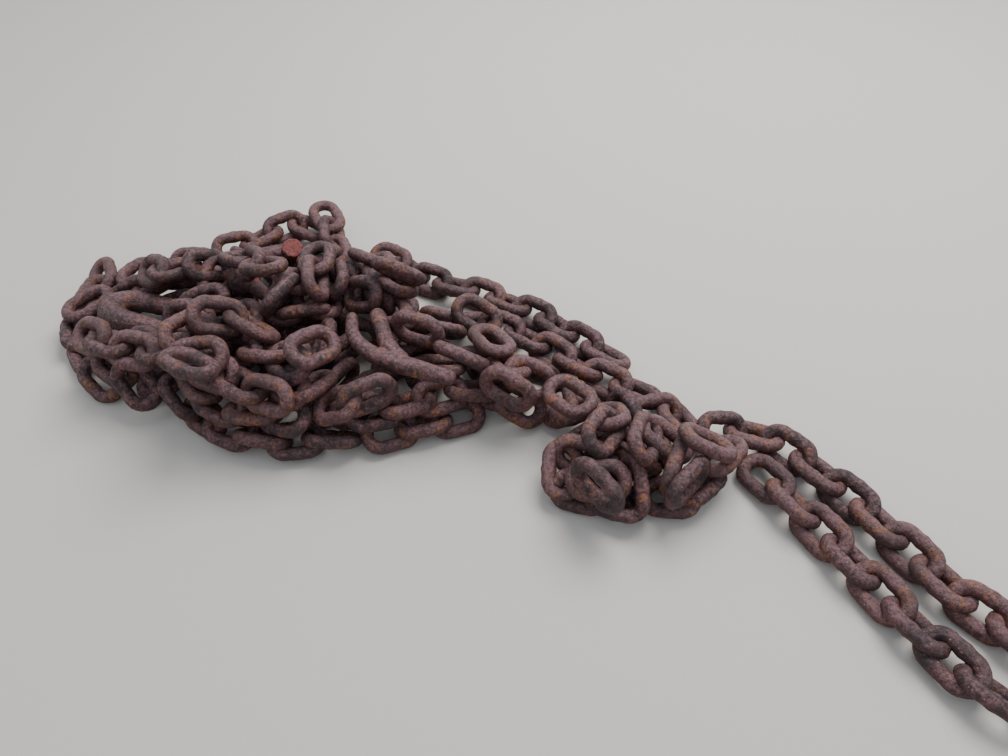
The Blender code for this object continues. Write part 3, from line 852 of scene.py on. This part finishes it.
def fill_inside(heap, chance):
    """Short rows of links that grow from random places inside the domes, clear of all the rest."""
    frames = []
    for dome in FILLED:
        middle, half, height = dome
        for _ in range(int(half[0] * half[1] * FILL_TRIES)):
            start = Vector((
                middle[0] + half[0] * chance.uniform(-1, 1),
                middle[1] + half[1] * chance.uniform(-1, 1),
                chance.uniform(WIRE / 2, height),
            ))
            if under_dome(start, dome):
                frames += grow_row(start, dome, heap, chance)
    return frames


def grow_row(start, dome, heap, chance):
    """One short row of links from a start, for as long as the next link has room."""
    turn = chance.uniform(0, 2 * math.pi)
    lean = chance.uniform(0, math.pi)
    places = [start]
    leans = []
    for _ in range(ROW_LINKS):
        for _ in range(LINK_TRIES):
            heading = turn + chance.uniform(-ROW_TURN, ROW_TURN)
            climb = chance.uniform(-ROW_CLIMB, ROW_CLIMB)
            level = math.cos(climb)
            step = Vector((math.cos(heading) * level, math.sin(heading) * level, math.sin(climb)))
            end = places[-1] + step * PITCH
            this_lean = lean + chance.uniform(-ROW_LEAN, ROW_LEAN)
            if under_dome(end, dome) and heap.is_clear(link_points(places[-1], end, this_lean)):
                break
        else:
            break
        places.append(end)
        leans.append(this_lean)
        lean = this_lean + math.pi / 2
        turn = heading
    if len(places) < 2:
        return []
    return heap.settle(places, leans)


class Shade:
    """One output of a material's nodes. An expression on it adds the nodes that work it out."""

    def __init__(self, tree, socket):
        self.tree = tree
        self.socket = socket

    def maths(self, operation, first, second):
        return add_node(self.tree, "ShaderNodeMath", {"operation": operation}, {0: first, 1: second})

    def __add__(self, other):
        return self.maths("ADD", self, other)

    __radd__ = __add__

    def __sub__(self, other):
        return self.maths("SUBTRACT", self, other)

    def __rsub__(self, other):
        return self.maths("SUBTRACT", other, self)

    def __mul__(self, other):
        return self.maths("MULTIPLY", self, other)

    __rmul__ = __mul__

    def ramp(self, low, high):
        """Zero below low, one above high, smooth between."""
        settings = {"interpolation_type": "SMOOTHSTEP", "clamp": True}
        inputs = {0: self, 1: low, 2: high, 3: 0.0, 4: 1.0}
        return add_node(self.tree, "ShaderNodeMapRange", settings, inputs)


def add_node(tree, kind, settings=None, inputs=None, output=0):
    """A node with its settings, then the values and links of its sockets; gives one of its outputs."""
    node = tree.nodes.new(kind)
    for key, value in (settings or {}).items():
        setattr(node, key, value)
    for key, value in (inputs or {}).items():
        socket = node.inputs[key]
        if isinstance(value, Shade):
            tree.links.new(value.socket, socket)
        else:
            socket.default_value = value
    return Shade(tree, node.outputs[output])


def mix(factor, first, second):
    """A colour between two colours, as RGBA values or links."""
    tree = next(value.tree for value in (factor, first, second) if isinstance(value, Shade))
    return add_node(tree, "ShaderNodeMix", {"data_type": "RGBA"}, {0: factor, 6: first, 7: second}, 2)


def noise(tree, place, scale, detail, rough):
    inputs = {"Vector": place, "Scale": scale, "Detail": detail, "Roughness": rough, "Lacunarity": 2.1}
    return add_node(tree, "ShaderNodeTexNoise", None, inputs, "Fac")


def cells(tree, place, scale):
    """How far each place is from the middle of its cell."""
    inputs = {"Vector": place, "Scale": scale}
    return add_node(tree, "ShaderNodeTexVoronoi", {"feature": "F1"}, inputs, "Distance")


def colour_of(value):
    return (*value, 1.0)


def rust_finish(name, look, paint=None):
    """Heavy old rust: scaly dark brown with pale tops, worn in patches and with a painted highlight where
    they face up, orange blooms, pits and dust.
    """
    material = bpy.data.materials.new(name)
    material.use_nodes = True
    tree = material.node_tree
    shader = tree.nodes["Principled BSDF"]
    place = add_node(tree, "ShaderNodeTexCoord", None, None, "Object")
    tone = add_node(tree, "ShaderNodeAttribute", {"attribute_name": "link_tone"}, None, "Fac")
    facing = add_node(tree, "ShaderNodeNewGeometry", None, None, "Normal")
    upward = add_node(tree, "ShaderNodeSeparateXYZ", None, {0: facing}, "Z")

    broad, patches, blooms, scale, grain = (noise(tree, place, *values) for values in RUST_NOISES)
    spots = cells(tree, place, SPOT_SCALE)
    pits = cells(tree, place, PIT_SCALE)

    dark = colour_of(look.dark)
    brown = colour_of(look.brown)
    colour = mix((patches + scale * 0.5 + tone * 0.25 - 0.37).ramp(0.3, 0.56), dark, brown)
    redder = (blooms + tone * 0.12 - grain * 0.15).ramp(0.43, 0.58)
    colour = mix(redder * 0.85, colour, colour_of(look.russet))
    # Pale tops: worn in patches, and lighter where the surface faces up, which is a painted highlight.
    worn = (upward * 0.34 + scale * 0.75 + patches * 0.3 + tone * 0.16).ramp(0.66, 1.02)
    colour = mix(worn * look.wear_and_highlight, colour, colour_of(look.pale))
    bloom = (blooms * 0.85 + scale * 0.42 + grain * 0.16 + tone * 0.05).ramp(0.79, 0.88)
    fresh = mix(grain.ramp(0.35, 0.65), colour_of(look.orange), colour_of(look.ochre))
    colour = mix(bloom * look.bloom, colour, fresh)
    soot = (1.0 - broad + scale * 0.2).ramp(0.6, 0.76)
    colour = mix(soot * 0.45, colour, colour_of(look.black))
    colour = mix((1.0 - pits.ramp(0.12, 0.3)) * scale.ramp(0.45, 0.6) * 0.6, colour, dark)
    mottle = (scale * 0.65 + grain * 0.35).ramp(0.4, 0.58)
    colour = mix((1.0 - mottle) * 0.62, colour, dark)
    dust = (1.0 - spots.ramp(0.1, 0.2)) * (patches + upward * 0.1).ramp(0.56, 0.66)
    colour = mix(dust * 0.5, colour, colour_of(look.dust))
    rough = 0.74 - worn * 0.2 - grain * 0.12 + bloom * 0.2
    if paint is not None:
        painted = paint_mask(tree, place, paint, scale, patches)
        coat = mix(scale.ramp(0.35, 0.6), colour_of(look.paint), colour_of(look.faded))
        colour = mix(painted, colour, coat)
        rough = rough - painted * 0.12
    height = patches * 0.8 + scale + grain * 0.3 + pits.ramp(0.0, 0.35) * 0.35 + spots.ramp(0.0, 0.5) * 0.2
    relief = {"Strength": 1.0, "Distance": RELIEF, "Height": height}
    bump = add_node(tree, "ShaderNodeBump", None, relief, "Normal")
    for key, value in {"Base Color": colour, "Roughness": rough, "Normal": bump}.items():
        tree.links.new(value.socket, shader.inputs[key])
    return material


def paint_mask(tree, place, paint, scale, patches):
    """Where paint is left on a hook's head: round its middle, worn off in scaly patches."""
    middle, radius = paint
    inputs = {0: place, 1: tuple(value * MM for value in middle)}
    away = add_node(tree, "ShaderNodeVectorMath", {"operation": "DISTANCE"}, inputs, "Value")
    near = 1.0 - away.ramp(radius * 0.6 * MM, radius * 1.4 * MM)
    return (near + patches * 2.6 + scale * 1.6 - 2.1).ramp(0.35, 0.6)


def leave_selected(*things):
    """Select just these objects, the first one active."""
    bpy.ops.object.select_all(action="DESELECT")
    for thing in things:
        thing.select_set(True)
    bpy.context.view_layer.objects.active = things[0]


def edit_where(thing, chosen, change):
    """Make one change in edit mode to the vertices that a test chooses by their place."""
    leave_selected(thing)
    bpy.ops.object.mode_set(mode="EDIT")
    bpy.ops.mesh.select_all(action="DESELECT")
    bpy.ops.object.mode_set(mode="OBJECT")
    for vert in thing.data.vertices:
        vert.select = chosen(vert.co)
    bpy.ops.object.mode_set(mode="EDIT")
    bpy.ops.mesh.select_mode(type="VERT")
    change()
    bpy.ops.object.mode_set(mode="OBJECT")


def model_link(name, around, across, straight_cuts):
    """One welded link: a ring drawn out to a long loop, with cuts along its straights and a weld."""
    bpy.ops.object.select_all(action="DESELECT")
    bpy.ops.mesh.primitive_torus_add(major_segments=around, minor_segments=across,
                                     major_radius=HALF_WIDTH * MM, minor_radius=LINK_WIRE / 2 * MM)
    link = bpy.context.object
    link.name = name
    half = (LINK_CROWN - HALF_WIDTH) * MM
    weld = (0, HALF_WIDTH * MM, 0)
    edit_where(link, lambda co: co.x > HAIR, lambda: bpy.ops.transform.translate(value=(half, 0, 0)))
    edit_where(link, lambda co: co.x < -HAIR, lambda: bpy.ops.transform.translate(value=(-half, 0, 0)))
    for cut in straight_cuts:
        edit_where(link, lambda co: True,
                   lambda: bpy.ops.mesh.bisect(plane_co=(cut * MM, 0, 0), plane_no=(1, 0, 0)))
    edit_where(link, lambda co: abs(co.x) < HAIR and co.y > 0,
               lambda: bpy.ops.transform.resize(value=(1, WELD_GROWTH, WELD_GROWTH), center_override=weld))
    bpy.ops.object.shade_smooth()
    return link


def set_tone(mesh, tone):
    """How light the rust of a link or a hook is, from zero to one."""
    attribute = mesh.attributes.new("link_tone", "FLOAT", "POINT")
    attribute.data.foreach_set("value", [tone] * len(mesh.vertices))


def join_copies(name, pattern, frames, tones, material):
    """A piece made of copies of one link, each in its place with its own tone."""
    copies = []
    for frame_of_link, tone in zip(frames, tones):
        copy = pattern.copy()
        copy.data = pattern.data.copy()
        copy.data.transform(frame_of_link)
        set_tone(copy.data, tone)
        bpy.context.scene.collection.objects.link(copy)
        copies.append(copy)
    leave_selected(*copies)
    bpy.ops.object.join()
    piece = bpy.context.object
    piece.name = name
    piece.data.name = name
    piece.data.materials.clear()
    piece.data.materials.append(material)
    return piece


def cloud(name, size):
    """A soft lumpy texture for dents; size in millimetres."""
    texture = bpy.data.textures.get(name) or bpy.data.textures.new(name, "CLOUDS")
    texture.noise_scale = size * MM
    texture.noise_depth = 2
    return texture


def dent(piece, coats, depth):
    """Push the surface in and out in coarse and then in fine lumps, as rust scale and wearing do."""
    coarse, fine, share = coats
    leave_selected(piece)
    for size, reach in ((coarse, depth), (fine, depth * share)):
        lumps = piece.modifiers.new("Lumps", "DISPLACE")
        lumps.texture = cloud(f"lumps_{size}", size)
        lumps.texture_coords = "LOCAL"
        lumps.mid_level = 0.5
        lumps.strength = reach * MM
        bpy.ops.object.modifier_apply(modifier=lumps.name)


def finish_piece(piece, nodes=()):
    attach(piece, "root")
    if nodes:
        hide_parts(*nodes)


def forge_bar(points, growth, shift):
    """The shown bar of a hook, as a mesh object."""
    bar = bend_bar(points, FINE_BAR, growth, shift)
    leave_selected(bar)
    bpy.ops.object.convert(target="MESH")
    edit_where(bar, lambda co: True, lambda: bpy.ops.mesh.remove_doubles(threshold=MERGED))
    return bar


def round_end(points, growth, shift):
    """A ball that rounds off the open end of a bar."""
    x, y, radius = points[-1]
    bpy.ops.mesh.primitive_uv_sphere_add(segments=24, ring_count=12, radius=radius * growth * MM,
                                         location=(on_sight_line((x, y), HOOK_LEVEL) + shift) * MM)
    return bpy.context.object


def model_head(shape, place, radius, thickness, shift):
    """A hook's head: an eight-sided block with worn edges and a dished face, or a flattened ball."""
    if shape == "block":
        bpy.ops.mesh.primitive_cylinder_add(vertices=8, radius=radius * MM, depth=thickness * MM)
        head = bpy.context.object
        top = thickness / 2 * MM
        edit_where(head, lambda co: True,
                   lambda: bpy.ops.transform.rotate(value=-math.pi / 8, orient_axis="Z",
                                                    center_override=(0, 0, 0)))
        edit_where(head, lambda co: co.z > top - HAIR,
                   lambda: bpy.ops.transform.resize(value=(BLOCK_TAPER, BLOCK_TAPER, 1)))
        edit_where(head, lambda co: co.z > top - HAIR, dish_face)
        edit_where(head, lambda co: co.length > radius * 0.9 * MM,
                   lambda: bpy.ops.mesh.bevel(offset=BLOCK_EDGE * MM, segments=3, affect="EDGES"))
    else:
        bpy.ops.mesh.primitive_uv_sphere_add(segments=32, ring_count=20, radius=radius * MM)
        head = bpy.context.object
        edit_where(head, lambda co: True,
                   lambda: bpy.ops.transform.resize(value=(1, 1, thickness / radius / 2)))
    head.data.transform(head_matrix(place, shift))
    return head


def dish_face():
    """Inset the chosen face and sink it a little."""
    bpy.ops.mesh.select_mode(type="FACE")
    bpy.ops.mesh.inset(thickness=DISH_RIM * MM, depth=-DISH_DEPTH * MM)


def model_hook(name, bars, shift, look):
    """One forged hook: its bars and head melted together, hammered and scaled with rust."""
    bpy.ops.object.select_all(action="DESELECT")
    growth = BAR_GROWTH.get(name, 1.0)
    shapes = [forge_bar(bar, growth, shift) for bar in bars]
    shapes += [round_end(end, growth, shift) for bar in bars for end in (bar, bar[::-1])]
    if name in HEADS:
        shapes.append(model_head(*HEADS[name], shift))
    for shape in shapes:
        leave_selected(shape)
        bpy.ops.object.transform_apply(location=True, rotation=True, scale=True)
    leave_selected(*shapes)
    bpy.ops.object.join()
    hook = bpy.context.object
    hook.name = name.replace("_hook", "_forging")
    hook.data.name = hook.name
    melt = hook.modifiers.new("Melt", "REMESH")
    melt.mode = "VOXEL"
    melt.voxel_size = VOXEL * MM
    worn = hook.modifiers.new("Worn", "SMOOTH")
    worn.factor = 0.6
    worn.iterations = 3
    for modifier in (melt, worn):
        bpy.ops.object.modifier_apply(modifier=modifier.name)
    bpy.ops.object.shade_smooth()
    dent(hook, HOOK_LUMPS, look.lump_depth)
    return hook


def colour_property(name, description, default):
    return FloatVectorProperty(name=name, description=description, subtype="COLOR", default=default)


class HeapLook(bpy.types.PropertyGroup):
    """Colours of the rusty steel, how pale its worn tops are with their painted highlight, and the form of
    the links.
    """
    dark: colour_property("Dark rust", "Colour of the rust in the hollows", (0.028, 0.014, 0.015))
    brown: colour_property("Brown rust", "Main colour of the rust", (0.142, 0.052, 0.056))
    russet: colour_property("Red rust", "Colour of the redder patches", (0.12, 0.042, 0.028))
    dust: colour_property("Dust", "Colour of the dust specks", (0.42, 0.36, 0.33))
    # The worn rust colour goes on worn patches and, where the surface faces up, as a painted highlight.
    pale: colour_property("Worn rust", "Colour of the tops that are worn and dusty",
                          (0.29, 0.166, 0.188))
    orange: colour_property("Fresh rust", "Colour of the fresh blooms", (0.3, 0.085, 0.03))
    ochre: colour_property("Ochre rust", "Second colour of the fresh blooms", (0.4, 0.18, 0.075))
    black: colour_property("Black scale", "Colour of the bare mill scale", (0.02, 0.016, 0.018))
    paint: colour_property("Red paint", "Paint left on two hooks", (0.15, 0.018, 0.016))
    faded: colour_property("Faded paint", "Chalky tops of the paint", (0.26, 0.06, 0.055))
    # How pale the tops become, from worn patches and from a painted highlight where they face up.
    wear_and_highlight: FloatProperty(name="Wear", description="How pale the worn tops are", subtype="FACTOR",
                        min=0, max=1, default=0.5)
    bloom: FloatProperty(name="Blooms", description="How strong the fresh rust shows", subtype="FACTOR",
                         min=0, max=1, default=0.7)
    lump_depth: FloatProperty(name="Lump depth", min=0, max=2, default=0.9,
                              description="How far scale stands off the wire, in millimetres")
    around: IntProperty(name="Steps round a link", description="Rings of faces along the wire",
                        min=16, max=64, step=4, default=36)
    across: IntProperty(name="Steps round the wire", description="Faces in each ring",
                        min=6, max=24, default=12)


class StageLook(bpy.types.PropertyGroup):
    """Floor and light."""
    floor: colour_property("Floor", "Colour of the floor", (0.62, 0.59, 0.55))
    size: FloatProperty(name="Floor size", description="Side of the floor", unit="LENGTH", default=8.0)
    power: FloatProperty(name="Lamp", description="Power of the soft lamp above", unit="POWER",
                         default=38.0)
    sky: FloatProperty(name="Sky", description="Strength of the even light all round", default=0.75)


class Laid:
    """What the operators share once the heap is laid."""
    heap = None
    strands = {}
    hooks = {}
    pattern = None
    filler = None
    chance = None
    rust = None


def laid_heap():
    """The heap, which the first step has to lay."""
    if Laid.heap is None:
        raise RuntimeError("Lay the heap first")
    return Laid.heap


class CHAINHEAP_OT_lay(bpy.types.Operator):
    """Lay the strands and hooks of the heap, and model the link they are made of"""
    bl_idname = "chainheap.lay"
    bl_label = "Lay the Heap"

    def execute(self, context):
        look = context.scene.heap_look
        Laid.heap, Laid.strands, Laid.hooks = lay_heap()
        Laid.chance = random.Random(SEED)
        Laid.pattern = model_link("link_pattern", look.around, look.across, STRAIGHT_CUTS)
        Laid.filler = model_link("filler_pattern", *FILLER_STEPS, ())
        for pattern in (Laid.pattern, Laid.filler):
            pattern.users_collection[0].objects.unlink(pattern)
        Laid.rust = rust_finish("chain_rust", look)
        return {"FINISHED"}


class CHAINHEAP_OT_strands(bpy.types.Operator):
    """Build each strand of the model as separate welded links"""
    bl_idname = "chainheap.strands"
    bl_label = "Strands"

    def execute(self, context):
        laid_heap()
        look = context.scene.heap_look
        for name, frames in Laid.strands.items():
            tones = [Laid.chance.random() for _ in frames]
            piece = join_copies(name.replace("_run", "_links"), Laid.pattern, frames, tones, Laid.rust)
            dent(piece, LINK_LUMPS, look.lump_depth)
            finish_piece(piece, [name])
        return {"FINISHED"}


class CHAINHEAP_OT_hooks(bpy.types.Operator):
    """Forge the two bare grab hooks and the two hooks with painted heads"""
    bl_idname = "chainheap.hooks"
    bl_label = "Hooks"

    def execute(self, context):
        laid_heap()
        look = context.scene.heap_look
        for name, (bars, shift) in Laid.hooks.items():
            hook = model_hook(name, bars, shift, look)
            paint = None
            if name in HEADS:
                side, reach = PAINT[name]
                paint = (on_sight_line(HEADS[name][1], HOOK_LEVEL) + shift + side, reach)
            set_tone(hook.data, HOOK_TONE)
            hook.data.materials.clear()
            hook.data.materials.append(rust_finish(f"{name}_rust", look, paint))
            finish_piece(hook, [name])
        return {"FINISHED"}


class CHAINHEAP_OT_fill(bpy.types.Operator):
    """Fill the inside of the heap with loose links where the model has solid cores"""
    bl_idname = "chainheap.fill"
    bl_label = "Links Inside"

    def execute(self, context):
        frames = fill_inside(laid_heap(), random.Random(SEED + 1))
        # The links inside get darker tones, a painted shade under the links above them.
        tones = [Laid.chance.random() * SHADED_INSIDE_TONE for _ in frames]
        piece = join_copies("inside_links", Laid.filler, frames, tones, Laid.rust)
        finish_piece(piece, list(CORES))
        return {"FINISHED"}


class CHAINHEAP_OT_gaps(bpy.types.Operator):
    """Let short strands of links down into the gaps that show between the others"""
    bl_idname = "chainheap.gaps"
    bl_label = "Links in the Gaps"

    def execute(self, context):
        look = context.scene.heap_look
        frames = fill_gaps(laid_heap(), random.Random(SEED + 2))
        tones = [Laid.chance.random() for _ in frames]
        piece = join_copies("gap_links", Laid.pattern, frames, tones, Laid.rust)
        dent(piece, LINK_LUMPS, look.lump_depth)
        finish_piece(piece)
        return {"FINISHED"}


class CHAINHEAP_OT_stage(bpy.types.Operator):
    """Add the floor, the soft light and the camera"""
    bl_idname = "chainheap.stage"
    bl_label = "Floor, Light and Camera"

    def execute(self, context):
        look = context.scene.stage_look
        build_floor(look)
        build_light(look)
        build_camera()
        return {"FINISHED"}


def build_floor(look):
    bpy.ops.object.select_all(action="DESELECT")
    bpy.ops.mesh.primitive_plane_add(size=look.size, location=FLOOR_MIDDLE)
    floor = bpy.context.object
    floor.name = "floor"
    bpy.ops.object.transform_apply(location=True, rotation=True, scale=True)
    material = bpy.data.materials.new("pale_floor")
    material.use_nodes = True
    tree = material.node_tree
    shader = tree.nodes["Principled BSDF"]
    shader.inputs["Base Color"].default_value = colour_of(look.floor)
    shader.inputs["Roughness"].default_value = 0.9
    floor.data.materials.append(material)


def build_light(look):
    scene = bpy.context.scene
    world = bpy.data.worlds.new("even_light")
    world.use_nodes = True
    sky = world.node_tree.nodes["Background"]
    sky.inputs["Color"].default_value = colour_of(SKY_COLOUR)
    sky.inputs["Strength"].default_value = look.sky
    scene.world = world
    lamp = bpy.data.lights.new("soft_lamp", "AREA")
    lamp.shape = "DISK"
    lamp.size = LAMP_WIDTH
    lamp.energy = look.power
    lamp.color = LAMP_COLOUR
    holder = bpy.data.objects.new("soft_lamp", lamp)
    holder.location = LAMP_PLACE
    aim = Vector(LAMP_TARGET) - holder.location
    holder.rotation_euler = aim.to_track_quat("-Z", "Y").to_euler()
    scene.collection.objects.link(holder)


def build_camera():
    scene = bpy.context.scene
    camera = bpy.data.cameras.new("camera")
    camera.sensor_width = SENSOR_WIDTH
    camera.lens = SENSOR_WIDTH * SHEET_FOCUS / SHEET_WIDTH
    camera.clip_start = 0.01
    holder = bpy.data.objects.new("camera", camera)
    holder.location = EYE * MM
    holder.rotation_euler = (math.radians(90) - TILT, 0, 0)
    scene.collection.objects.link(holder)
    scene.camera = holder


STEPS = (
    CHAINHEAP_OT_lay,
    CHAINHEAP_OT_strands,
    CHAINHEAP_OT_hooks,
    CHAINHEAP_OT_gaps,
    CHAINHEAP_OT_fill,
    CHAINHEAP_OT_stage,
)


class CHAINHEAP_PT_panel(bpy.types.Panel):
    """Sizes, colours and steps of the chain heap"""
    bl_label = "Chain Heap"
    bl_idname = "CHAINHEAP_PT_panel"
    bl_space_type = "VIEW_3D"
    bl_region_type = "UI"
    bl_category = "Chain Heap"

    def draw(self, context):
        for look in (context.scene.heap_look, context.scene.stage_look):
            for key in look.__annotations__:
                self.layout.prop(look, key)
        for step in STEPS:
            self.layout.operator(step.bl_idname)


CLASSES = (HeapLook, StageLook, *STEPS, CHAINHEAP_PT_panel)


def register():
    for cls in CLASSES:
        bpy.utils.register_class(cls)
    bpy.types.Scene.heap_look = PointerProperty(type=HeapLook)
    bpy.types.Scene.stage_look = PointerProperty(type=StageLook)


def unregister():
    del bpy.types.Scene.stage_look
    del bpy.types.Scene.heap_look
    for cls in reversed(CLASSES):
        bpy.utils.unregister_class(cls)


def main():
    register()
    bpy.ops.chainheap.lay()
    bpy.ops.chainheap.strands()
    bpy.ops.chainheap.hooks()
    bpy.ops.chainheap.gaps()
    bpy.ops.chainheap.fill()
    bpy.ops.chainheap.stage()


if __name__ == "__main__":
    main()
